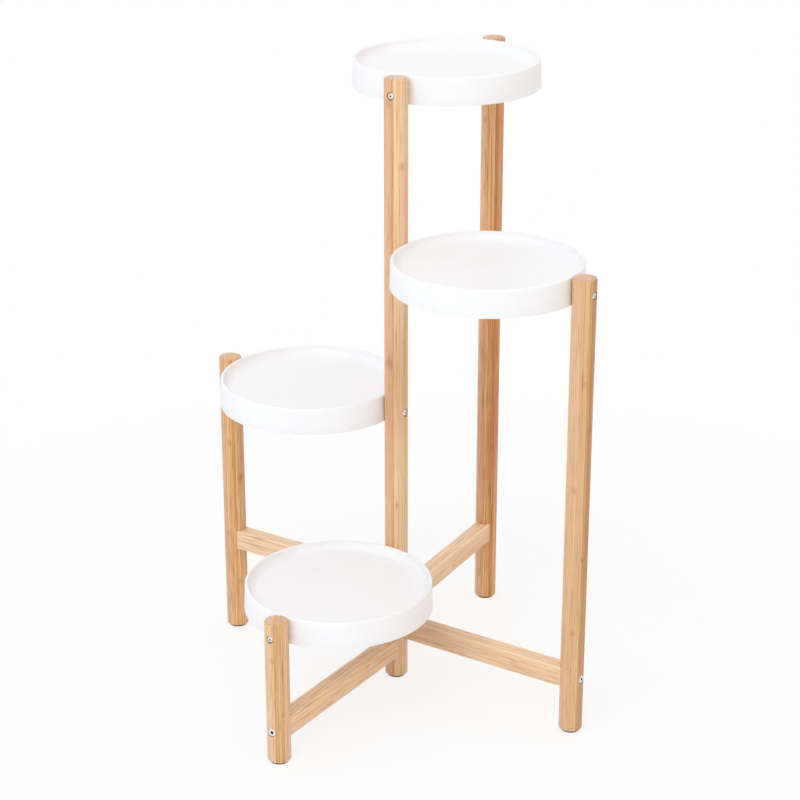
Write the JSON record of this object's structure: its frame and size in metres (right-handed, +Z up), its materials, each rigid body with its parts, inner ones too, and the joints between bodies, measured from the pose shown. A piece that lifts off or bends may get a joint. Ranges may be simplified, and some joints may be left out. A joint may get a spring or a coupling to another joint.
{
  "type": "tiered plant stand",
  "caption": "Tiered plant stand: round dish trays at stepped heights, each held between a tall centre post and an outer post, with rails set square near the floor.",
  "frame": {"origin": "on the floor, under the axis of the centre post", "axes": "+Z up along the posts, -Y towards the shortest post and the lowest tray, +X towards the second tallest outer post"},
  "size_m": [0.4702, 0.4695, 0.68],
  "materials": {
    "bamboo_post": "laminated bamboo, turned, sanded and clear lacquered to a satin",
    "bamboo_rail": "laminated bamboo, planed, edges eased, clear lacquered to a satin",
    "tray_plastic": "white injection-moulded polypropylene, polished",
    "pad_rubber": "dark brown, matt",
    "screw_steel": "bright zinc plate",
    "nut_steel": "zinc plated",
    "bolt_steel": "bright nickel plate",
    "insert_brass": "as turned"
  },
  "bodies": {
    "root": {"post_centre": "bamboo_post", "post_front": "bamboo_post", "post_right": "bamboo_post", "post_back": "bamboo_post", "post_left": "bamboo_post", "foot_pad_centre": "pad_rubber", "foot_pad_front": "pad_rubber", "foot_pad_right": "pad_rubber", "foot_pad_back": "pad_rubber", "foot_pad_left": "pad_rubber", "rail_front": "bamboo_rail", "rail_right": "bamboo_rail", "rail_back": "bamboo_rail", "rail_left": "bamboo_rail", "tray_front": "tray_plastic", "tray_right": "tray_plastic", "tray_back": "tray_plastic", "tray_left": "tray_plastic", "tray_screws": "screw_steel", "tray_nuts": "nut_steel", "rail_bolts": "bolt_steel", "rail_inserts": "insert_brass"}
  },
  "joints": []
}
